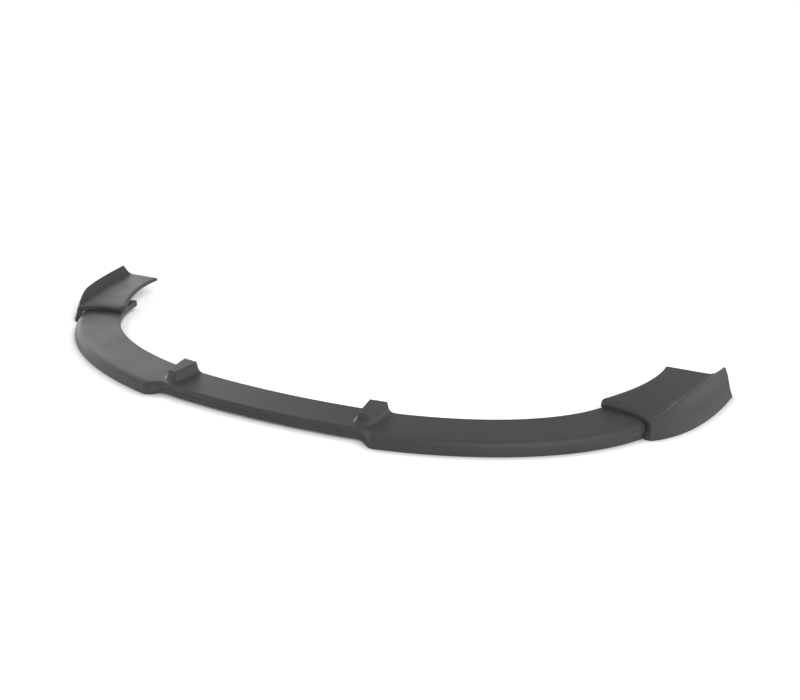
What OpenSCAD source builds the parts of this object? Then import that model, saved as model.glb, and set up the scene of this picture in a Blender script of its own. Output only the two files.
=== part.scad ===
// Front splitter lip: a crescent blade with two wedge bosses, and two finned end caps.
// The lip lies on z = 0 with its front towards -y. Lengths are in millimetres.

/* [Blade outline] */
// Half width of the oval that the wings' front edge follows
front_half_w = 838; // [800:1:860]
// Depth of that oval, from its widest place to its front
front_depth = 511.5; // [490:0.5:530]
// How square that oval is, 2 being an ellipse
front_power = 2.1; // [2.05:0.01:2.15]
// Width of a wing where the front oval is widest
wing_end_w = 113; // [104:0.5:120]
// Distance between the front oval and the rear edge's oval at their front
wing_root_w = 125.5; // [115:0.5:135]
// How square the rear edge's oval is
rear_power = 2.2; // [2.15:0.01:2.25]
// How far the rear oval's widest place lies behind the front oval's
oval_stagger = 30; // [20:1:40]
// Radius of the middle part's front edge
middle_front_r = 2062; // [1800:1:2400]
// Radius of the middle part's rear edge
middle_rear_r = 1951; // [1700:1:2300]
// Width of the middle part from front to rear
middle_w = 99.5; // [85:0.5:110]
// How far the middle part's front edge lies behind the front oval
middle_setback = 31.3; // [26:0.1:38]
// Half width at which the front edge leaves the middle part
step_in = 262; // [240:1:275]
// Width of the slanting step between the middle part and a wing
step_w = 40; // [25:1:55]

/* [Blade section] */
// Height of the blade's top face
blade_h = 27.4; // [24:0.2:34]
// Wall thickness of the blade
blade_wall = 3.5; // [2.5:0.1:4]
// Radius of the wings' upper front edge
wing_edge_r = 19; // [14:0.5:20]
// Radius of the middle part's upper front edge
middle_edge_r = 6.5; // [6:0.5:10]
// Height of the middle part's lower edge above the wings' lower edge
middle_lift = 7.5; // [4:0.5:9]
// How far the toe along the middle part's lower edge stands out
toe_reach = 2.8; // [1:0.1:3]
// Height of that toe
toe_h = 8; // [6:0.5:8.5]
// Height of the rear flange's lower edge
rear_flange_z = 11.5; // [6:0.5:15]
// Rounding of the upper rear edge
rear_edge_r = 2; // [1:0.5:2.5]

/* [Underside] */
// Thickness of a cross rib
rib_t = 2.5; // [2:0.1:4]
// How far a rib's lower edge stays above the walls' lower edges
rib_rise = 4; // [2:0.5:6]
// Number of cross ribs under each wing
wing_ribs = 5; // [2:1:7]
// Number of cross ribs under the middle part
middle_ribs = 5; // [1:2:7]

/* [Wedge bosses] */
// Distance of a boss's middle from the lip's middle
boss_x = 254.7; // [245:0.1:262]
// Width of a boss's top at the rear
boss_rear_w = 41; // [34:0.5:48]
// Width of a boss's top at the front
boss_front_w = 24.5; // [20:0.5:30]
// Length of a boss's top
boss_l = 69; // [64:1:74]
// Height of a boss's top above the blade at the rear
boss_rear_h = 23.6; // [20:0.2:30]
// Height of a boss's top above the blade at the front
boss_front_h = 21.2; // [18:0.2:24]
// Draft of a boss's walls from upright, in degrees
boss_draft = 13; // [5:1:20]
// Radius of the hollow curve at a boss's foot
boss_foot_r = 13; // [8:1:14]
// Rounding of a boss's upright edges
boss_corner_r = 4; // [2:0.5:6]
// Rounding of a boss's upper edges
boss_top_r = 1.2; // [0.6:0.1:2]

/* [End caps] */
// How far a cap's rear lower corner stands out beyond the front oval
cap_reach = 88.5; // [80:0.5:110]
// Depth of a cap, from the seam's start to its rear end
cap_l = 255.8; // [235:0.2:275]
// Width of a cap's plate and fin across its rear end
cap_rear_w = 132; // [115:1:145]
// Wall thickness of a cap
cap_wall = 3.5; // [2.5:0.1:4]
// Height of the plate's front edge above the blade's top face
cap_step = 12.6; // [10:0.1:16]
// How much higher the plate lies at the rear than at its front edge
plate_rise = 6.3; // [2:0.1:9]
// Height of the turned-down rim along the inner edge
rim_h = 7; // [5:0.5:8]
// Radius of the plate's front edge
front_edge_r = 4.5; // [4.2:0.1:6]
// How far a cap's outer front corner stands out from the blade's face
corner_out = 20.4; // [18:0.1:24]
// Radius of the inner front corner
inner_corner_r = 15; // [10:0.5:18]
// Radius of the outer front corner at its lower edge
outer_corner_r = 8; // [6:0.5:10]
// Width of the flange's upright part at the outer front corner
return_w = 11; // [7:0.5:12]
// Height of the fin's ridge above the plate at the rear
fin_h = 22.6; // [16:0.2:30]
// Slope of the fin's inner face, in degrees
fin_slope = 47; // [35:1:60]
// Share of the cap's length in which the fin climbs
fin_climb = 0.3; // [0.25:0.01:0.45]
// Radius of the fin's ridge
ridge_r = 2.5; // [1.5:0.1:3]
// How far the outer wall flares from the ridge to its lower edge, at the rear
flare_rear = 24; // [12:1:36]
// The same flare at the front corner
flare_front = 16.6; // [12:0.2:19]
// How far the outer wall swells under the ridge and falls in above its foot
wall_bow = 1.2; // [0:0.1:2]
// Gap between a cap's front flange and the blade
seam_gap = 0.3; // [0.2:0.05:0.6]

/* [Cap screws] */
// Shank diameter of a screw
screw_d = 4.2; // [3.5:0.1:5]
// Shank length
screw_l = 12; // [9:0.5:12.5]
// Head diameter
head_d = 9; // [7.5:0.1:11]
// Head height
head_h = 2.8; // [2:0.1:3.5]
// Outer diameter of the posts that the screws turn into
post_d = 10; // [9:0.1:13]
// Radial gap round the shank in the blade's skin
shank_gap = 0.4; // [0.2:0.05:0.8]

/* [Hidden] */

lip_colour = [0.17, 0.17, 0.175];
cap_colour = [0.16, 0.16, 0.165];
screw_colour = [0.30, 0.30, 0.31];

// Stations run along the blade by an angle that both ovals share
function turn_at(x) = asin(pow(x / front_half_w, front_power / 2));
middle_turn = turn_at(step_in - step_w / 2);
step_turn = turn_at(step_in + 1.2 * step_w);
end_turn = 83.2;
seam_turn = 68.6;

// The ovals' half widths and depths, and their widest places, with the lip's middle at y = 0
rear_half_w = front_half_w - wing_end_w;
rear_depth = front_depth + oval_stagger - wing_root_w;
lip_front = front_depth * pow(cos(turn_at(step_in + step_w)), 2 / front_power);
lip_rear = oval_stagger - rear_depth * pow(cos(seam_turn), 2 / rear_power) + cap_l;
front_oval_y = (lip_front - lip_rear) / 2;
rear_oval_y = front_oval_y + oval_stagger;
middle_front_y = front_oval_y - front_depth + middle_setback;
middle_rear_y = middle_front_y + middle_w;
cap_half_w = front_half_w + cap_reach;
middle_stations = 10;
step_stations = 9;
wing_stations = 30;
edge_steps = 6;
inner_edge_steps = 3;

// The cap's grid: rows run from the front to the rear, columns from the inner rim to the foot
plate_rows = 14;
plate_columns = 6;
fillet_steps = 4;
ridge_steps = 3;
wall_columns = 4;
rim_columns = 3;
corner_columns = 2;
corner_rows = 2;
fillet_share = 0.42;
return_share = 0.35;
seam_setback = 0.5;
corner_turn = 71.5;
// Each screw's turn along the blade, share of the way to its front edge and share along the cap
screw_places = [[71.5, 0.20, 0.05], [73.5, 0.62, 0.10], [79, 0.34, 0.27]];
embed = 1;
slip = 0.05;
boss_skew = 0.12;
boss_setback = 0.5;
boss_steps = 5;
// How far the blade's lower edge begins to drop before the outline's step, and the end ribs' margins
drop_lead = 12;
middle_rib_margin = 3;
wing_rib_margins = [3.5, 4];
// Where the curved outlines' control points lie between their ends, across and along the cap
foot_bulge = [0.76, 0.235];
ridge_bulge = [0.62, 0.225];
inner_bulge = [0.98, 0.50];
seam_bulge = 0.68;
// Directions, seen from above, in which the outer front corner and its flare lean
corner_way = [0.6, -0.8];
flare_way = [0.6, -0.8];
// Share of the fin's height that it gains in its climb
climb_share = 0.87;
toe_least = 0.5;
fin_least = 0.3;
full_slope_h = 8;
crest_least = 0.5;

function ease(x) = let (c = max(0, min(1, x))) c * c * (3 - 2 * c);
function mix(a, b, k) = a + (b - a) * k;
function bend(a, c, b, k) = mix(mix(a, c, k), mix(c, b, k), k);
function unit(v) = v / norm(v);
function lift(p, z) = [p.x, p.y, z];

// A point of an oval at an angle from its front
function oval_point(turn, half_w, depth, power, y) = [
    sign(turn) * half_w * pow(sin(abs(turn)), 2 / power),
    y - depth * pow(cos(turn), 2 / power)
];

function bow(x, r, y) = y + r - sqrt(r * r - x * x);

function rear_point(turn) =
    let (p = oval_point(turn, rear_half_w, rear_depth, rear_power, rear_oval_y))
    [p.x, max(p.y, bow(p.x, middle_rear_r, middle_rear_y))];

function front_point(turn) =
    let (p = oval_point(turn, front_half_w, front_depth, front_power, front_oval_y))
    [p.x, mix(bow(p.x, middle_front_r, middle_front_y), p.y, ease((abs(p.x) - step_in) / step_w))];

// How far a station has left the middle part: the lower edge drops ahead of the outline
function wing_share(x) = ease((abs(x) - step_in + drop_lead) / step_w);

// The blade's hollow section at one station, as a closed loop of points
function blade_section(turn) =
    let (
        a = rear_point(turn), b = front_point(turn), w = norm(b - a), way = (b - a) / w,
        k = wing_share(b.x),
        low = middle_lift * (1 - k), toe = toe_reach * (1 - k), toe_top = low + mix(toe_h, blade_h / 8, k),
        r = mix(middle_edge_r, wing_edge_r, k), inner_r = r - blade_wall,
        face = w - toe, top = blade_h,
        outer = concat(
            [[0, rear_flange_z], [0, top - rear_edge_r], [rear_edge_r, top]],
            [for (i = [0:edge_steps]) let (q = 90 * i / edge_steps)
                [face - r + r * sin(q), top - r + r * cos(q)]],
            [[face, toe_top], [w, toe_top - max(toe, toe_least)], [w, low]]),
        inner = concat(
            [[face - blade_wall, low]],
            [for (i = [inner_edge_steps:-1:0]) let (q = 90 * i / inner_edge_steps)
                [face - r + inner_r * sin(q), top - r + inner_r * cos(q)]],
            [[blade_wall, top - blade_wall], [blade_wall, rear_flange_z]])
    )
    [for (p = concat(outer, inner)) lift(a + way * p.x, p.y)];

// A solid through closed loops of points that all have the same number of points
module loft(loops) {
    n = len(loops[0]);
    last = (len(loops) - 1) * n;
    points = [for (loop = loops) each loop];
    sides = [for (i = [0:len(loops) - 2], j = [0:n - 1])
        let (a = i * n + j, b = i * n + (j + 1) % n) each [[a, b + n, b], [a, a + n, b + n]]];
    polyhedron(points, concat(sides, [[for (j = [0:n - 1]) j]], [[for (j = [n - 1:-1:0]) last + j]]));
}

wing_turns = [for (i = [1:wing_stations]) mix(step_turn, end_turn, i / wing_stations)];
step_turns = [for (i = [1:step_stations]) mix(middle_turn, step_turn, i / step_stations)];
middle_turns = [for (i = [-middle_stations:2:middle_stations]) middle_turn * i / middle_stations];
function mirrored(turns) = [for (i = [len(turns) - 1:-1:0]) -turns[i]];
blade_turns = concat(mirrored(wing_turns), mirrored(step_turns), middle_turns, step_turns, wing_turns);

module blade_shell() {
    loft([for (turn = blade_turns) blade_section(turn)]);
}

// A cross rib, whose edge runs in the middle of the walls that it joins
module cross_rib(turn) {
    a = rear_point(turn);
    b = front_point(turn);
    w = norm(b - a);
    k = wing_share(b.x);
    half = blade_wall / 2;
    low = middle_lift * (1 - k);
    r = mix(middle_edge_r, wing_edge_r, k);
    face = w - toe_reach * (1 - k);
    translate(lift(a, 0))
        rotate([0, 0, atan2(b.y - a.y, b.x - a.x)])
        rotate([90, 0, 0])
        linear_extrude(rib_t, center = true)
        polygon(concat(
            [[half, rear_flange_z + rib_rise], [half, blade_h - half]],
            [for (i = [0:inner_edge_steps]) let (q = 90 * i / inner_edge_steps)
                [face - r + (r - half) * sin(q), blade_h - r + (r - half) * cos(q)]],
            [[face - half, low + rib_rise]]));
}

module blade_ribs() {
    for (i = [0:middle_ribs - 1])
        cross_rib(middle_ribs == 1 ? 0
            : mix(middle_rib_margin - middle_turn, middle_turn - middle_rib_margin, i / (middle_ribs - 1)));
    for (side = [-1, 1], i = [0:wing_ribs - 1])
        cross_rib(side * mix(step_turn + wing_rib_margins[0], seam_turn - wing_rib_margins[1],
            i / (wing_ribs - 1)));
}

// Half of a boss's outline at a given spread from its top's edge: a point list from rear to front
function boss_side(spread, side) =
    let (
        front = boss_front_w / 2 + spread, rear = boss_rear_w / 2 + spread,
        r = boss_corner_r + spread, tip = boss_l + spread, taper = atan2(rear - front, boss_l)
    )
    concat(
        [[side * rear, 0], [side * mix(rear, front, 0.5), boss_l / 2]],
        [for (i = [0:2]) let (q = mix(taper, 90, i / 2))
            [side * (front - r + r * cos(q)), tip - r + r * sin(q)]]);

function boss_ring(spread, drop, x0, y0) =
    let (half = boss_side(spread, 1), other = boss_side(spread, -1),
        ring = concat(half, [for (i = [len(other) - 1:-1:0]) other[i]]))
    [for (p = ring) [
        x0 + p.x, y0 - p.y + p.x * boss_skew,
        max(blade_h - embed, blade_h + mix(boss_rear_h, boss_front_h, p.y / boss_l) * drop)]];

// Spread and height, as a share of the boss's own height, down a wall and its foot curve
function boss_levels() =
    let (
        turn = 90 - boss_draft, foot = boss_foot_r * (1 - cos(turn)), reach = boss_foot_r * sin(turn),
        h = (boss_rear_h + boss_front_h) / 2, wall = (h - foot) * tan(boss_draft)
    )
    concat(
        [[-boss_top_r, 1], [0, 1 - boss_top_r / h], [wall, foot / h]],
        [for (i = [1:boss_steps]) let (q = turn * (1 - i / boss_steps))
            [wall + reach - boss_foot_r * sin(q), boss_foot_r * (1 - cos(q)) / h]],
        [[wall + reach + 2 * embed, -1]]);

module boss_form() {
    y = bow(boss_x, middle_rear_r, middle_rear_y) - boss_setback;
    loft([for (level = boss_levels()) boss_ring(level.x, level.y, boss_x, y)]);
}

// The room inside a boss, open to the blade's underside
module boss_room() {
    y = bow(boss_x, middle_rear_r, middle_rear_y) - boss_setback;
    function corner(p, z) = [boss_x + p.x, y - p.y + p.x * boss_skew, z];
    rear = boss_rear_w / 2 - blade_wall;
    front = boss_front_w / 2 - blade_wall;
    back = blade_wall;
    tip = boss_l - blade_wall;
    flare = blade_wall;
    floor_z = blade_h - blade_wall - embed;
    loft([
        [for (p = [[rear, back], [front, tip], [-front, tip], [-rear, back]])
            corner(p, blade_h + mix(boss_rear_h, boss_front_h, p.y / boss_l) - blade_wall)],
        [for (p = [[rear + flare, back], [front + flare, tip + flare],
                [-front - flare, tip + flare], [-rear - flare, back]]) corner(p, floor_z)]
    ]);
}

function screw_spot(place) = mix(rear_point(place[0]), front_point(place[0]), place[1]);

module at_screws() {
    for (place = screw_places)
        translate(lift(screw_spot(place), 0)) children();
}

// The blade with its ribs and hollow bosses, as tall as the bosses stand
module blade_moulding() {
    resize([0, 0, blade_h + boss_rear_h])
        difference() {
            union() {
                blade_shell();
                blade_ribs();
                for (side = [0, 1]) mirror([side, 0, 0]) boss_form();
            }
            for (side = [0, 1]) mirror([side, 0, 0]) boss_room();
        }
}

module front_blade() {
    color(lip_colour)
    difference() {
        blade_moulding();
        for (side = [0, 1]) mirror([side, 0, 0])
            at_screws() cylinder(h = blade_h + embed, d = screw_d + 2 * shank_gap, $fn = 32);
    }
}

// Outlines of the right cap, seen from above: the seam, the inner edge, the ridge and the foot
seam_origin = rear_point(seam_turn);
cap_rear_y = seam_origin.y + cap_l;
corner_center = seam_origin + [seam_setback + inner_corner_r, inner_corner_r];
corner_half_turn = 30;
corner_mid_turn = 210;
corner_front_turn = 270;
corner_inner_turn = 150;

foot_start = front_point(corner_turn) + corner_out * corner_way;
foot_rear = [cap_half_w, cap_rear_y];
foot_mid = [mix(foot_start.x, foot_rear.x, foot_bulge.x), mix(foot_start.y, foot_rear.y, foot_bulge.y)];
ridge_start = foot_start - flare_front * flare_way;
ridge_rear = [cap_half_w - flare_rear - ridge_r, cap_rear_y];
ridge_mid = [mix(ridge_start.x, ridge_rear.x, ridge_bulge.x),
    mix(ridge_start.y, ridge_rear.y, ridge_bulge.y)];
inner_rear = [ridge_rear.x - cap_rear_w + front_edge_r, cap_rear_y];

function ridge_line(u) = bend(ridge_start, ridge_mid, ridge_rear, u);
function foot_line(u) = bend(foot_start, foot_mid, foot_rear, u);
function outward(u) = unit(foot_line(u) - ridge_line(u));

plate_front_z = blade_h + cap_step;
function plate_z(u) = plate_front_z + plate_rise * (1 - pow(1 - u, 3));
function fin_rise(u) =
    let (s = (ridge_line(u).y - ridge_start.y) / (cap_rear_y - ridge_start.y))
    max(fin_least, fin_h * (climb_share * ease(s / fin_climb) + (1 - climb_share) * s));

// The fin's inner face climbs from the plate by a hollow curve and then straight up to the ridge
function slope(u) = fin_slope * min(1, fin_rise(u) / full_slope_h);
function face_h(u) = fin_rise(u) - ridge_r * (1 - cos(slope(u)));
function fillet_r(u) = fillet_share * face_h(u) / (1 - cos(slope(u)));
function face_w(u) = fillet_r(u) * sin(slope(u)) + (1 - fillet_share) * face_h(u) / tan(slope(u));
function trough(u) = ridge_line(u) - outward(u) * (face_w(u) + ridge_r * sin(slope(u)));

// Plan points round the inner corner, a distance out from the plate's flat
function corner_spot(turn, off) =
    corner_center + (inner_corner_r - front_edge_r + off) * [cos(turn), sin(turn)];

// The seam from the inner corner to the trough, by column; the first columns go round the corner
seam_turned = corner_spot(corner_front_turn, 0);
seam_mid = [mix(seam_turned.x, trough(0).x, seam_bulge), seam_turned.y];
function seam_spot(j, off, swing) =
    j <= corner_columns
    ? let (first = corner_mid_turn + swing * corner_half_turn)
        corner_spot(mix(first, corner_front_turn, j / corner_columns), off)
    : let (v = (j - corner_columns) / (plate_columns - corner_columns), end = trough(0),
        way = unit(mix(seam_mid - seam_turned, end - seam_mid, v)))
        bend(seam_turned, seam_mid, end, v) + off * [way.y, -way.x];

// The inner edge from the corner to the rear end, by row; the first rows go round the corner
inner_turned = corner_spot(corner_inner_turn, 0);
inner_mid = [mix(inner_turned.x, inner_rear.x, inner_bulge.x),
    mix(inner_turned.y, inner_rear.y, inner_bulge.y)];
function inner_spot(i, off, swing) =
    i <= corner_rows
    ? corner_spot(mix(corner_mid_turn - swing * corner_half_turn, corner_inner_turn, i / corner_rows), off)
    : let (v = (i - corner_rows) / (plate_rows - corner_rows),
        way = unit(mix(inner_mid - inner_turned, inner_rear - inner_mid, v)),
        side = i == plate_rows ? [-1, 0] : [-way.y, way.x])
        bend(inner_turned, inner_mid, inner_rear, v) + off * side;

function row_share(i) = i / plate_rows;

// The flat of the plate between the seam, the inner edge, the trough and the rear end
function plate_spot(i, j) =
    let (u = row_share(i), v = j / plate_columns,
        a = seam_spot(0, 0, 0), b = trough(0), c = inner_spot(plate_rows, 0, 0), d = trough(1))
    mix(seam_spot(j, 0, 0), mix(c, d, v), u) + mix(inner_spot(i, 0, 0), trough(u), v)
    - mix(mix(a, c, u), mix(b, d, u), v);

// Distance out and drop of an edge's levels: 0 the lower edge, 1 the rounding's end, 3 the flat
function level_out(level, inset) = (front_edge_r - inset) * cos(45 * max(0, level - 1));
function level_z(level, z, foot, inset) =
    level == 0 ? foot : z - front_edge_r + (front_edge_r - inset) * sin(45 * (level - 1));

function rim_z(i) = mix(blade_h + seam_gap, plate_z(row_share(i)) - rim_h, ease(i / (corner_rows + 1)));

// One row of the cap's skin from the rim to the outer wall's lower edge
function cap_row(i, inset) =
    let (
        u = row_share(i), z = plate_z(u), way = outward(u), q = slope(u), r = fillet_r(u),
        from = trough(u), ridge = ridge_line(u), foot = foot_line(u), crest_z = z + fin_rise(u) - ridge_r,
        lean = atan2(norm(foot - ridge) - ridge_r, crest_z), half = (90 - q + lean) / 2,
        crest_r = max(crest_least, ridge_r - inset),
        sink = inset > 0 ? (inset + crest_r - ridge_r) / sin(half) : 0,
        fall = 225 + (q + lean) / 2, crest = ridge + way * sink * cos(fall),
        brow = ridge + way * (ridge_r * cos(lean) - inset), brow_z = crest_z + ridge_r * sin(lean)
    )
    concat(
        [lift(inner_spot(i, level_out(0, inset), i == 0 ? 1 : 0), rim_z(i)),
        lift(inner_spot(i, level_out(1, inset), i == 0 ? 0.5 : 0), level_z(1, z, 0, inset)),
        lift(inner_spot(i, level_out(2, inset), i == 0 ? 0.25 : 0), level_z(2, z, 0, inset))],
        [for (j = [0:plate_columns]) lift(plate_spot(i, j), z - inset)],
        [for (k = [1:fillet_steps]) let (a = q * k / fillet_steps)
            lift(from + way * (r + inset) * sin(a), z + r - (r + inset) * cos(a))],
        [for (k = [0:ridge_steps]) let (a = mix(90 + q, lean, k / ridge_steps))
            lift(crest + way * crest_r * cos(a), crest_z + sink * sin(fall) + crest_r * sin(a))],
        [for (k = [1:wall_columns]) let (t = k / wall_columns)
            lift(mix(brow, foot - way * inset, t) + way * wall_bow * sin(360 * t),
                brow_z * (1 - t))]);

top_columns = rim_columns + plate_columns + 1 + fillet_steps + ridge_steps + 1;

// The outer front corner's lower edge: from the flange's free edge round to the outer wall
wall_way = unit(foot_mid - foot_start);
wall_turn = atan2(wall_way.y, wall_way.x);
outer_center = foot_start + outer_corner_r * [-wall_way.y, wall_way.x];
function outer_foot(level, inset) =
    outer_center + (outer_corner_r - inset) * [sin(wall_turn * max(0, level - 1) / 2),
        -cos(wall_turn * max(0, level - 1) / 2)] - [level == 0 ? return_w : 0, 0];

// One row of the front flange: level 0 is its lower edge, level 2 the last before the plate's flat
function flange_row(level, inset) =
    let (
        top = cap_row(0, inset), foot_z = blade_h + seam_gap, z = plate_front_z,
        drop_z = level_z(level, z, foot_z, inset), out = level_out(level, inset),
        end_way = unit(trough(0) - seam_mid), count = top_columns - rim_columns - plate_columns - 1,
        seam_end = seam_spot(plate_columns, out, 0),
        fin = [for (k = [1:count]) let (p = top[rim_columns + plate_columns + k], t = k / count,
            side = unit(mix([end_way.y, -end_way.x], [0.15, -1], t)))
            lift(mix(seam_end, [p.x + side.x * out, p.y + side.y * out], level == 0 ? return_share : 1),
                min(p.z, drop_z + (p.z - z + inset) * (level == 0 ? 0 : 1)))],
        last = fin[count - 1]
    )
    concat(
        [for (c = [0:rim_columns - 1])
            let (low = min(level, c), swing = (3 - level) / 3 - (3 - c) / 3)
            lift(corner_spot(corner_mid_turn + swing * corner_half_turn, level_out(low, inset)),
                level_z(low, z, foot_z, inset))],
        [for (j = [0:plate_columns])
            lift(seam_spot(j, out, j == 0 ? (3 - level) / 3 : 0), drop_z)],
        fin,
        [for (k = [1:wall_columns]) let (t = k / wall_columns, foot = outer_foot(level, inset))
            lift(mix([last.x, last.y], foot, t), last.z * (1 - t))]);

function reversed(list) = [for (i = [len(list) - 1:-1:0]) list[i]];
function skin_rows(inset) = concat(
    [for (level = [0:2]) flange_row(level, inset)],
    [for (i = [0:plate_rows]) cap_row(i, inset)]);

// A shell between two skins of the same grid, with strips along their four borders
module sheet(outer, inner) {
    rows = len(outer);
    n = len(outer[0]);
    half = rows * n;
    edge = concat(
        [for (j = [0:n - 1]) j],
        [for (i = [1:rows - 1]) i * n + n - 1],
        [for (j = [n - 2:-1:0]) (rows - 1) * n + j],
        [for (i = [rows - 2:-1:1]) i * n]);
    polyhedron(
        concat([for (row = outer) each row], [for (row = inner) each row]),
        concat(
            [for (i = [0:rows - 2], j = [0:n - 2]) let (a = i * n + j)
                each [[a, a + n, a + n + 1], [a, a + n + 1, a + 1]]],
            [for (i = [0:rows - 2], j = [0:n - 2]) let (a = half + i * n + j)
                each [[a, a + n + 1, a + n], [a, a + 1, a + n + 1]]],
            [for (k = [0:len(edge) - 1]) let (a = edge[k], b = edge[(k + 1) % len(edge)])
                each [[a, b, b + half], [a, b + half, a + half]]]));
}

// A round post under the plate, which stands on the blade's top
module cap_posts() {
    for (place = screw_places)
        translate(lift(screw_spot(place), blade_h))
            cylinder(h = plate_z(place[2]) - cap_wall / 2 - blade_h, d = post_d, $fn = 24);
}

// The skin with its posts, as tall as the fin's ridge
module right_cap() {
    difference() {
        resize([0, 0, plate_front_z + plate_rise + fin_h]) {
            sheet(skin_rows(0), skin_rows(cap_wall));
            cap_posts();
        }
        at_screws() translate([0, 0, blade_h - embed])
            cylinder(h = screw_l - blade_wall + 2 * embed, d = screw_d, $fn = 32);
    }
}

module left_end_cap() { color(cap_colour) mirror([1, 0, 0]) right_cap(); }
module right_end_cap() { color(cap_colour) right_cap(); }
module cap_screws() {
    at_screws() {
        translate([0, 0, blade_h - blade_wall - head_h]) cylinder(h = head_h, d = head_d, $fn = 32);
        translate([0, 0, blade_h - blade_wall - slip]) cylinder(h = screw_l, d = screw_d, $fn = 32);
    }
}
module left_cap_screws() { color(screw_colour) mirror([1, 0, 0]) cap_screws(); }
module right_cap_screws() { color(screw_colour) cap_screws(); }

front_blade();
left_end_cap();
right_end_cap();
left_cap_screws();
right_cap_screws();
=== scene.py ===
import bpy
import math
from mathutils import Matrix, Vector


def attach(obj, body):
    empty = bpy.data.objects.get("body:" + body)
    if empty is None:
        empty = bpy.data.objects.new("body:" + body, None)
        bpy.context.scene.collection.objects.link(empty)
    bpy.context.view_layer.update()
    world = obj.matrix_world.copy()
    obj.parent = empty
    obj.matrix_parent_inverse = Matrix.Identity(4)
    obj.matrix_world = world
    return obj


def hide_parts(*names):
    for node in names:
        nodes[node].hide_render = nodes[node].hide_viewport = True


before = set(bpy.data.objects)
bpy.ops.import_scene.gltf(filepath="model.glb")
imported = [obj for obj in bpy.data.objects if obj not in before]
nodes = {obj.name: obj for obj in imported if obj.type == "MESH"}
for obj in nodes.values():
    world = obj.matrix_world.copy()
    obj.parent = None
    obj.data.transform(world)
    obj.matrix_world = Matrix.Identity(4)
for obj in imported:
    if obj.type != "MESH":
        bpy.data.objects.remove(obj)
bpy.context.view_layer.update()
print("stage: frame loaded")


# small helpers for node trees
def freshTree(owner):
    owner.use_nodes = True
    tree = owner.node_tree
    tree.nodes.clear()
    return tree


# an input socket is given as in_Its_Name=value, a setting of the node by its own name
def addNode(tree, kind, **values):
    node = tree.nodes.new(kind)
    for name, value in values.items():
        if name.startswith("in_"):
            node.inputs[name[3:].replace("_", " ")].default_value = value
        else:
            setattr(node, name, value)
    return node


# carries a value from one span to another, and stops at the ends
def spread(tree, value, source, target=(0, 1)):
    node = addNode(tree, "ShaderNodeMapRange")
    for socket, level in zip(("From Min", "From Max", "To Min", "To Max"), (*source, *target)):
        node.inputs[socket].default_value = level
    tree.links.new(value, node.inputs["Value"])
    return node.outputs["Result"]


def twoTone(tree, factor, spots, colours):
    ramp = addNode(tree, "ShaderNodeValToRGB")
    for stop, spot, colour in zip(ramp.color_ramp.elements, spots, colours):
        stop.position = spot
        stop.color = colour
    tree.links.new(factor, ramp.inputs["Fac"])
    return ramp.outputs["Color"]


def multiplied(tree, value, factor):
    node = addNode(tree, "ShaderNodeMath", operation="MULTIPLY")
    tree.links.new(value, node.inputs[0])
    if isinstance(factor, float):
        node.inputs[1].default_value = factor
    else:
        tree.links.new(factor, node.inputs[1])
    return node.outputs["Value"]


# black plastic, moulded with a fine etched grain
plastic = {
    "dark": (0.037, 0.0373, 0.039),
    "pale": (0.051, 0.0515, 0.0535),
    "tones": (0.36, 0.68),  # where in the pattern the dark and the pale one stand
    "dust": (0.095, 0.094, 0.091, 1),
    "dustScale": 95,
    "dustSize": 0.035,
    "dustShare": 0.35,
    "rough": (0.36, 0.47),
    "roughSpan": (0.3, 0.7),
    "flow": 9,  # slow marks of the plastic's flow in the mould
    "flowShare": 0.5,
    "mottle": 420,
    "mottleShare": 0.55,
    "grain": 1150,
    "grainBump": (0.6, 0.00009),  # strength and height in metres
    "swell": 14,
    "swellBump": (0.15, 0.0009),
    "edge": 0.0011,  # radius at which the shading rounds an edge
}


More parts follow.
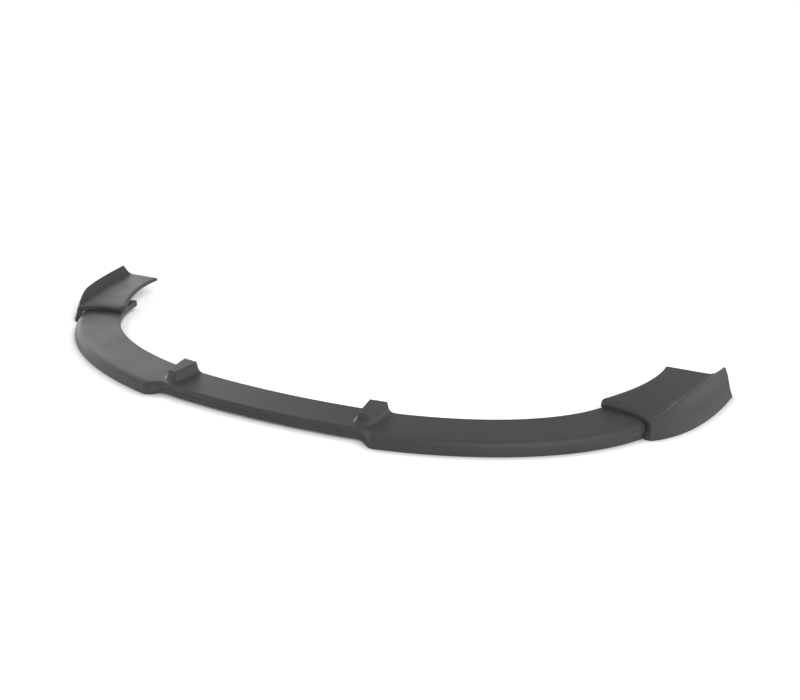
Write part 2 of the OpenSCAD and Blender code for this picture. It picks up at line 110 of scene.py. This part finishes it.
def mouldedPlastic(name, look, shade, seed):
    material = bpy.data.materials.new(name)
    tree = freshTree(material)
    link = tree.links.new
    place = addNode(tree, "ShaderNodeTexCoord")
    shift = addNode(tree, "ShaderNodeMapping")
    shift.inputs["Location"].default_value = (seed, seed * 0.7, seed * 0.3)
    link(place.outputs["Object"], shift.inputs["Vector"])

    # colour: slow flow marks, fine mottle and a trace of dust
    flow = addNode(tree, "ShaderNodeTexNoise", in_Scale=look["flow"], in_Detail=4.0, in_Roughness=0.55)
    mottle = addNode(tree, "ShaderNodeTexNoise", in_Scale=look["mottle"], in_Detail=3.0, in_Roughness=0.6)
    link(shift.outputs["Vector"], flow.inputs["Vector"])
    link(shift.outputs["Vector"], mottle.inputs["Vector"])
    both = addNode(tree, "ShaderNodeMath", operation="MULTIPLY_ADD")
    both.inputs[1].default_value = look["mottleShare"]
    link(mottle.outputs["Fac"], both.inputs[0])
    link(multiplied(tree, flow.outputs["Fac"], look["flowShare"]), both.inputs[2])
    tones = [tuple(level * shade for level in look[tone]) + (1,) for tone in ("dark", "pale")]
    colour = twoTone(tree, both.outputs["Value"], look["tones"], tones)
    specks = addNode(tree, "ShaderNodeTexVoronoi", in_Scale=look["dustScale"], in_Randomness=1.0)
    link(shift.outputs["Vector"], specks.inputs["Vector"])
    dusty = addNode(tree, "ShaderNodeMix", data_type="RGBA")
    dusty.inputs[7].default_value = look["dust"]
    dustMask = spread(tree, specks.outputs["Distance"], (look["dustSize"], 0), (0, look["dustShare"]))
    link(dustMask, dusty.inputs[0])
    link(colour, dusty.inputs[6])

    # surface: etched grain over a very shallow sink and swell, and edges broken by a small radius
    grain = addNode(tree, "ShaderNodeTexVoronoi", in_Scale=look["grain"], in_Randomness=0.9)
    grain.feature = "SMOOTH_F1"
    link(shift.outputs["Vector"], grain.inputs["Vector"])
    strength, height = look["grainBump"]
    fine = addNode(tree, "ShaderNodeBump", in_Strength=strength, in_Distance=height)
    link(grain.outputs["Distance"], fine.inputs["Height"])
    edge = addNode(tree, "ShaderNodeBevel", samples=6, in_Radius=look["edge"])
    link(edge.outputs["Normal"], fine.inputs["Normal"])
    swell = addNode(tree, "ShaderNodeTexNoise", in_Scale=look["swell"], in_Detail=1.0)
    link(shift.outputs["Vector"], swell.inputs["Vector"])
    strength, height = look["swellBump"]
    slow = addNode(tree, "ShaderNodeBump", in_Strength=strength, in_Distance=height)
    link(swell.outputs["Fac"], slow.inputs["Height"])
    link(fine.outputs["Normal"], slow.inputs["Normal"])

    # the grain shines a little more where the plastic met the mould first
    shader = addNode(tree, "ShaderNodeBsdfPrincipled", in_IOR=1.5)
    link(dusty.outputs[2], shader.inputs["Base Color"])
    link(spread(tree, flow.outputs["Fac"], look["roughSpan"], look["rough"]), shader.inputs["Roughness"])
    link(slow.outputs["Normal"], shader.inputs["Normal"])
    out = addNode(tree, "ShaderNodeOutputMaterial")
    link(shader.outputs["BSDF"], out.inputs["Surface"])
    return material


# zinc-plated steel of the screws
steel = {
    "dark": (0.24, 0.24, 0.25, 1),
    "pale": (0.42, 0.42, 0.43, 1),
    "tones": (0.35, 0.65),
    "rough": (0.24, 0.42),
    "stain": 260,
    "pits": 2600,
    "pitsBump": (0.3, 0.00004),
}


def platedSteel(name, look):
    material = bpy.data.materials.new(name)
    tree = freshTree(material)
    link = tree.links.new
    place = addNode(tree, "ShaderNodeTexCoord")
    stain = addNode(tree, "ShaderNodeTexNoise", in_Scale=look["stain"], in_Detail=5.0, in_Roughness=0.6)
    link(place.outputs["Object"], stain.inputs["Vector"])
    colour = twoTone(tree, stain.outputs["Fac"], look["tones"], (look["dark"], look["pale"]))
    pits = addNode(tree, "ShaderNodeTexNoise", in_Scale=look["pits"], in_Detail=2.0)
    link(place.outputs["Object"], pits.inputs["Vector"])
    strength, height = look["pitsBump"]
    bump = addNode(tree, "ShaderNodeBump", in_Strength=strength, in_Distance=height)
    link(pits.outputs["Fac"], bump.inputs["Height"])
    shader = addNode(tree, "ShaderNodeBsdfPrincipled", in_Metallic=1.0)
    link(colour, shader.inputs["Base Color"])
    link(spread(tree, stain.outputs["Fac"], (0, 1), look["rough"]), shader.inputs["Roughness"])
    link(bump.outputs["Normal"], shader.inputs["Normal"])
    out = addNode(tree, "ShaderNodeOutputMaterial")
    link(shader.outputs["BSDF"], out.inputs["Surface"])
    return material


bladePlastic = mouldedPlastic("blade_plastic", plastic, shade=1.0, seed=0.0)
capPlastic = mouldedPlastic("cap_plastic", plastic, shade=0.94, seed=3.7)
screwSteel = platedSteel("screw_steel", steel)
print("stage: materials made")


# blade and caps: smooth skins that turn sharply only at their edges
moulding = {
    "weld": 0.00001,
    "crease": 30,  # degrees
    "weight": 50,
}


def selectOnly(obj):
    bpy.ops.object.select_all(action="DESELECT")
    obj.select_set(True)
    bpy.context.view_layer.objects.active = obj


def finishMoulding(obj, material, look):
    selectOnly(obj)
    obj.data.materials.clear()
    obj.data.materials.append(material)
    bpy.ops.mesh.customdata_custom_splitnormals_clear()
    bpy.ops.object.shade_smooth()
    weld = obj.modifiers.new("weld", "WELD")
    weld.merge_threshold = look["weld"]
    crease = obj.modifiers.new("crease", "EDGE_SPLIT")
    crease.use_edge_sharp = False
    crease.split_angle = math.radians(look["crease"])
    even = obj.modifiers.new("even", "WEIGHTED_NORMAL")
    even.weight = look["weight"]


finishMoulding(nodes["front_blade"], bladePlastic, moulding)
finishMoulding(nodes["left_end_cap"], capPlastic, moulding)
finishMoulding(nodes["right_end_cap"], capPlastic, moulding)
print("stage: blade and caps finished")


# cap screws: a domed head on a flange, a cross recess, and a thread wound round the shank
screw = {
    "spots": ((0.7120, 0.0538, 20), (0.7643, 0.0467, 65), (0.7504, 0.1043, 130)),  # X, Y, turn
    "low": 0.0211,  # height of the domed head's lowest point
    "head": (0.0045, 0.0028),  # radius and height
    "sides": (40, 24),  # of the head and of the core
    "flange": 0.0009,
    "dome": ((0.84, 0.0005), (0.95, 0.0006), (0.86, 0.0005), (0.66, 0.0003)),  # narrowing and drop
    "recess": (0.0044, 0.0010, 0.0017),  # length, width and depth of one wing
    "recessTaper": 0.55,
    "core": (0.0016, 0.0116),  # radius and length
    "coreTaper": 0.35,
    "coreRoot": 0.0002,  # how deep its end lies in the head
    "thread": (0.0019967, 0.0014, 7),  # crest radius, pitch and turns
    "threadRoot": 0.0002233,  # how deep its inner edge lies in the core
    "threadStart": 0.0011033,  # its height above the head
    "threadSteps": 20,
    "smooth": 35,
}


def applyPlace():
    bpy.ops.object.transform_apply(location=True, rotation=True, scale=True)


def facesUp(face):
    return face.normal.z > 0.9


def facesDown(face):
    return face.normal.z < -0.9


# opens edit mode with only the wanted faces selected
def editFaces(obj, wanted):
    selectOnly(obj)
    bpy.ops.object.mode_set(mode="EDIT")
    bpy.ops.mesh.select_mode(type="FACE")
    bpy.ops.mesh.select_all(action="DESELECT")
    bpy.ops.object.mode_set(mode="OBJECT")
    for face in obj.data.polygons:
        face.select = wanted(face)
    bpy.ops.object.mode_set(mode="EDIT")


def narrowFaces(obj, wanted, share):
    editFaces(obj, wanted)
    bpy.ops.transform.resize(value=(share, share, 1))
    bpy.ops.object.mode_set(mode="OBJECT")


def cutRecessWing(head, look, turn):
    length, width, depth = look["recess"]
    bpy.ops.mesh.primitive_cube_add(size=1, location=(0, 0, look["low"]), scale=(length, width, depth * 2),
                                    rotation=(0, 0, math.radians(turn)))
    wing = bpy.context.object
    applyPlace()
    narrowFaces(wing, facesUp, look["recessTaper"])
    selectOnly(head)
    cut = head.modifiers.new("recess", "BOOLEAN")
    cut.operation = "DIFFERENCE"
    cut.object = wing
    bpy.ops.object.modifier_apply(modifier="recess")
    bpy.data.objects.remove(wing)


def screwHead(look):
    radius, height = look["head"]
    top = look["low"] + height
    bpy.ops.mesh.primitive_cylinder_add(vertices=look["sides"][0], radius=radius, depth=look["flange"],
                                        location=(0, 0, top - look["flange"] / 2))
    head = bpy.context.object
    editFaces(head, facesDown)
    for narrowing, drop in look["dome"]:
        bpy.ops.mesh.extrude_region_move(TRANSFORM_OT_translate={"value": (0, 0, -drop)})
        bpy.ops.transform.resize(value=(narrowing, narrowing, 1))
    bpy.ops.object.mode_set(mode="OBJECT")
    applyPlace()
    for turn in (0, 90):
        cutRecessWing(head, look, turn)
    return head


def screwCore(look):
    radius, length = look["core"]
    foot = look["low"] + look["head"][1] - look["coreRoot"]
    bpy.ops.object.select_all(action="DESELECT")
    bpy.ops.mesh.primitive_cylinder_add(vertices=look["sides"][1], radius=radius, depth=length,
                                        location=(0, 0, foot + length / 2))
    core = bpy.context.object
    narrowFaces(core, facesUp, look["coreTaper"])
    applyPlace()
    return core


# a triangle that points outwards, wound up the core
def screwThread(look):
    crest, pitch, turns = look["thread"]
    corner = (crest - look["core"][0] + look["threadRoot"]) / 1.5  # from the triangle's middle
    start = look["low"] + look["head"][1] + look["threadStart"]
    bpy.ops.object.select_all(action="DESELECT")
    bpy.ops.mesh.primitive_circle_add(vertices=3, radius=corner, location=(crest - corner, 0, start),
                                      rotation=(math.radians(90), math.radians(90), 0))
    ridge = bpy.context.object
    applyPlace()
    wind = ridge.modifiers.new("wind", "SCREW")
    wind.axis = "Z"
    wind.screw_offset = pitch
    wind.iterations = turns
    wind.steps = wind.render_steps = look["threadSteps"]
    wind.use_merge_vertices = False
    bpy.ops.object.modifier_apply(modifier="wind")
    bpy.ops.object.mode_set(mode="EDIT")
    bpy.ops.mesh.select_all(action="SELECT")
    bpy.ops.mesh.fill_holes(sides=4)
    bpy.ops.mesh.select_all(action="SELECT")
    bpy.ops.mesh.normals_make_consistent(inside=False)
    bpy.ops.object.mode_set(mode="OBJECT")
    return ridge


def joined(parts, name):
    bpy.ops.object.select_all(action="DESELECT")
    for part in parts:
        part.select_set(True)
    bpy.context.view_layer.objects.active = parts[0]
    bpy.ops.object.join()
    parts[0].name = name
    return parts[0]


oneScrew = joined([screwHead(screw), screwCore(screw), screwThread(screw)], "one_screw")
oneScrew.data.materials.append(screwSteel)
for side, way in (("left", -1), ("right", 1)):
    copies = []
    for x, y, turn in screw["spots"]:
        selectOnly(oneScrew)
        bpy.ops.object.duplicate()
        copy = bpy.context.object
        copy.location = (way * x, y, 0)
        copy.rotation_euler = (0, 0, math.radians(way * turn))
        applyPlace()
        copies.append(copy)
    screws = joined(copies, side + "_pan_screws")
    bpy.ops.object.shade_smooth_by_angle(angle=math.radians(screw["smooth"]))
    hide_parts(side + "_cap_screws")
    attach(screws, "root")
bpy.data.objects.remove(oneScrew)
print("stage: screws finished")


# pale floor; what changes along X has two places in metres, and the level that it has at each
paleFloor = {
    "size": 60,
    "drop": 0.0002,  # keeps it just clear of the rims
    "white": (0.94, 0.94, 0.95, 1),
    "shade": (0.15, 0.145, 0.18, 1),
    "touch": 0.029,  # reach of the soft shade where the object touches the floor
    "touchAlong": (-0.9, -0.25),
    "touchDepth": (0.35, 2.1),
    "liftAlong": (-1.05, -0.35),
    "lift": (0.36, 0.21),
    "mirrorAlong": (0.05, -0.50),
    "mirror": (0.40, 1.0),  # how pale the floor shows in the plastic's sheen: painted shade that dims it, and a painted pool of light that makes it paler towards the left
    "farFrom": (0.95, 1.35),  # metres from the middle, over which plain white takes over
    "farGlow": 1.02,
}


def floorMaterial(name, look):
    material = bpy.data.materials.new(name)
    tree = freshTree(material)
    link = tree.links.new
    place = addNode(tree, "ShaderNodeTexCoord")
    parts = addNode(tree, "ShaderNodeSeparateXYZ")
    link(place.outputs["Object"], parts.inputs[0])
    across = parts.outputs["X"]
    ray = addNode(tree, "ShaderNodeLightPath")
    seen = ray.outputs["Is Camera Ray"]

    # soft shade where the object touches it, less so on the lit left
    touch = addNode(tree, "ShaderNodeAmbientOcclusion", samples=8, in_Distance=look["touch"])
    soft = addNode(tree, "ShaderNodeMath", operation="POWER")
    link(touch.outputs["AO"], soft.inputs[0])
    link(spread(tree, across, look["touchAlong"], look["touchDepth"]), soft.inputs[1])
    shaded = addNode(tree, "ShaderNodeMix", data_type="RGBA")
    shaded.inputs[6].default_value = look["shade"]
    shaded.inputs[7].default_value = look["white"]
    link(soft.outputs["Value"], shaded.inputs[0])
    colour = addNode(tree, "ShaderNodeMix", data_type="RGBA")
    colour.inputs[6].default_value = look["white"]
    link(seen, colour.inputs[0])
    link(shaded.outputs[2], colour.inputs[7])
    near = addNode(tree, "ShaderNodeBsdfPrincipled", in_Roughness=0.9)
    near.inputs["Specular IOR Level"].default_value = 0.1
    near.inputs["Emission Color"].default_value = (1, 1, 1, 1)
    link(colour.outputs[2], near.inputs["Base Color"])
    lift = multiplied(tree, soft.outputs["Value"], spread(tree, across, look["liftAlong"], look["lift"]))
    link(multiplied(tree, seen, lift), near.inputs["Emission Strength"])

    # far off it is plain white to the camera
    reach = addNode(tree, "ShaderNodeVectorMath", operation="LENGTH")
    link(place.outputs["Object"], reach.inputs[0])
    far = addNode(tree, "ShaderNodeEmission", in_Strength=look["farGlow"])
    toCamera = addNode(tree, "ShaderNodeMixShader")
    link(multiplied(tree, seen, spread(tree, reach.outputs["Value"], look["farFrom"])), toCamera.inputs[0])
    link(near.outputs["BSDF"], toCamera.inputs[1])
    link(far.outputs["Emission"], toCamera.inputs[2])

    # painted reflection: in reflections the floor is painted dimmer, a painted shade, and paler towards
    # the left, a painted pool of light
    mirrored = addNode(tree, "ShaderNodeBsdfDiffuse")
    link(spread(tree, across, look["mirrorAlong"], look["mirror"]), mirrored.inputs["Color"])
    every = addNode(tree, "ShaderNodeMixShader")
    link(ray.outputs["Is Glossy Ray"], every.inputs[0])
    link(toCamera.outputs["Shader"], every.inputs[1])
    link(mirrored.outputs["BSDF"], every.inputs[2])
    out = addNode(tree, "ShaderNodeOutputMaterial")
    link(every.outputs["Shader"], out.inputs["Surface"])
    return material


bpy.ops.object.select_all(action="DESELECT")
bpy.ops.mesh.primitive_plane_add(size=paleFloor["size"], location=(0, 0, -paleFloor["drop"]))
floor = bpy.context.object
floor.name = "floor"
floor.data.materials.append(floorMaterial("floor_white", paleFloor))
print("stage: floor laid")


# studio: a bright band low round the horizon, dimmer above it; each pair is a place and a level
studio = {
    "strength": 5.6,
    "backdrop": 1.05,
    "heights": ((0.0, 1.0), (0.20, 1.0), (0.30, 0.60), (0.37, 0.33), (0.46, 0.28), (0.62, 0.33),
                (0.8, 0.40), (1.0, 0.40)),
    "sides": ((0.0, 0.40), (0.06, 0.54), (0.13, 0.74), (0.20, 0.29), (0.28, 0.099), (0.42, 0.117),
              (0.56, 0.19), (0.7, 0.32), (1.0, 0.25)),
    "depths": ((0.0, 0.44), (0.38, 0.46), (0.52, 0.75), (0.64, 1.0), (1.0, 1.0)),
}


def greyRamp(tree, value, levels):
    ramp = addNode(tree, "ShaderNodeValToRGB")
    stops = ramp.color_ramp.elements
    for stop, (place, level) in ((stops[0], levels[0]), (stops[1], levels[-1])):
        stop.position = place
        stop.color = (level, level, level, 1)
    for place, level in levels[1:-1]:
        stops.new(place).color = (level, level, level, 1)
    tree.links.new(value, ramp.inputs["Fac"])
    return ramp.outputs["Color"]


def blended(tree, first, second):
    mix = addNode(tree, "ShaderNodeMix", data_type="RGBA", blend_type="MULTIPLY")
    mix.inputs[0].default_value = 1.0
    tree.links.new(first, mix.inputs[6])
    tree.links.new(second, mix.inputs[7])
    return mix.outputs[2]


def studioWorld(name, look):
    world = bpy.data.worlds.new(name)
    sky = freshTree(world)
    link = sky.links.new
    direction = addNode(sky, "ShaderNodeTexCoord")
    parts = addNode(sky, "ShaderNodeSeparateXYZ")
    link(direction.outputs["Generated"], parts.inputs[0])
    band = greyRamp(sky, parts.outputs["Z"], look["heights"])
    sides = greyRamp(sky, spread(sky, parts.outputs["X"], (-1, 1)), look["sides"])
    depths = greyRamp(sky, spread(sky, parts.outputs["Y"], (-1, 1)), look["depths"])
    glow = addNode(sky, "ShaderNodeBackground", in_Strength=look["strength"])
    link(blended(sky, blended(sky, band, sides), depths), glow.inputs["Color"])
    backdrop = addNode(sky, "ShaderNodeBackground", in_Color=(1, 1, 1, 1), in_Strength=look["backdrop"])
    ray = addNode(sky, "ShaderNodeLightPath")
    pick = addNode(sky, "ShaderNodeMixShader")
    link(ray.outputs["Is Camera Ray"], pick.inputs[0])
    link(glow.outputs["Background"], pick.inputs[1])
    link(backdrop.outputs["Background"], pick.inputs[2])
    out = addNode(sky, "ShaderNodeOutputWorld")
    link(pick.outputs["Shader"], out.inputs["Surface"])
    return world


bpy.context.scene.world = studioWorld("studio", studio)


# soft lights; the plastic mirrors only the weak overhead one, so its rounded edges stay quiet
softboxes = {
    "front_right_box": {"place": (2.6, -2.2, 2.4), "aim": (0.1, -0.1, 0.03), "size": (1.8, 1.2),
                        "power": 90, "mirrored": False},
    "overhead_box": {"place": (1.5, -0.5, 3.4), "aim": (0.1, 0, 0), "size": (2.6, 2.4),
                     "power": 36, "mirrored": False},
    "overhead_sheen_box": {"place": (1.5, -0.5, 3.2), "aim": (0.1, 0, 0), "size": (2.4, 2.2),
                           "power": 17, "mirrored": True},
}


def softbox(name, look):
    bpy.ops.object.light_add(type="AREA", location=look["place"])
    lamp = bpy.context.object
    lamp.name = name
    lamp.data.shape = "RECTANGLE"
    lamp.data.size, lamp.data.size_y = look["size"]
    lamp.data.energy = look["power"]
    lamp.visible_glossy = look["mirrored"]
    away = Vector(look["place"]) - Vector(look["aim"])
    lamp.rotation_mode = "QUATERNION"
    lamp.rotation_quaternion = away.to_track_quat("Z", "Y")


for boxName, boxLook in softboxes.items():
    softbox(boxName, boxLook)


# the view of the photo
view = {
    "place": (1.10956, -1.7803, 0.89995),
    "target": (0.10856, 0.2117, 0),
    "sensor": 36,
    "lens": 41.51,
}
bpy.ops.object.camera_add(location=view["place"])
camera = bpy.context.object
camera.name = "camera"
camera.rotation_mode = "QUATERNION"
camera.rotation_quaternion = (Vector(view["target"]) - camera.location).to_track_quat("-Z", "Y")
camera.data.sensor_width = view["sensor"]
camera.data.lens = view["lens"]
bpy.context.scene.camera = camera
bpy.context.scene.view_settings.view_transform = "Standard"
print("stage: studio set")
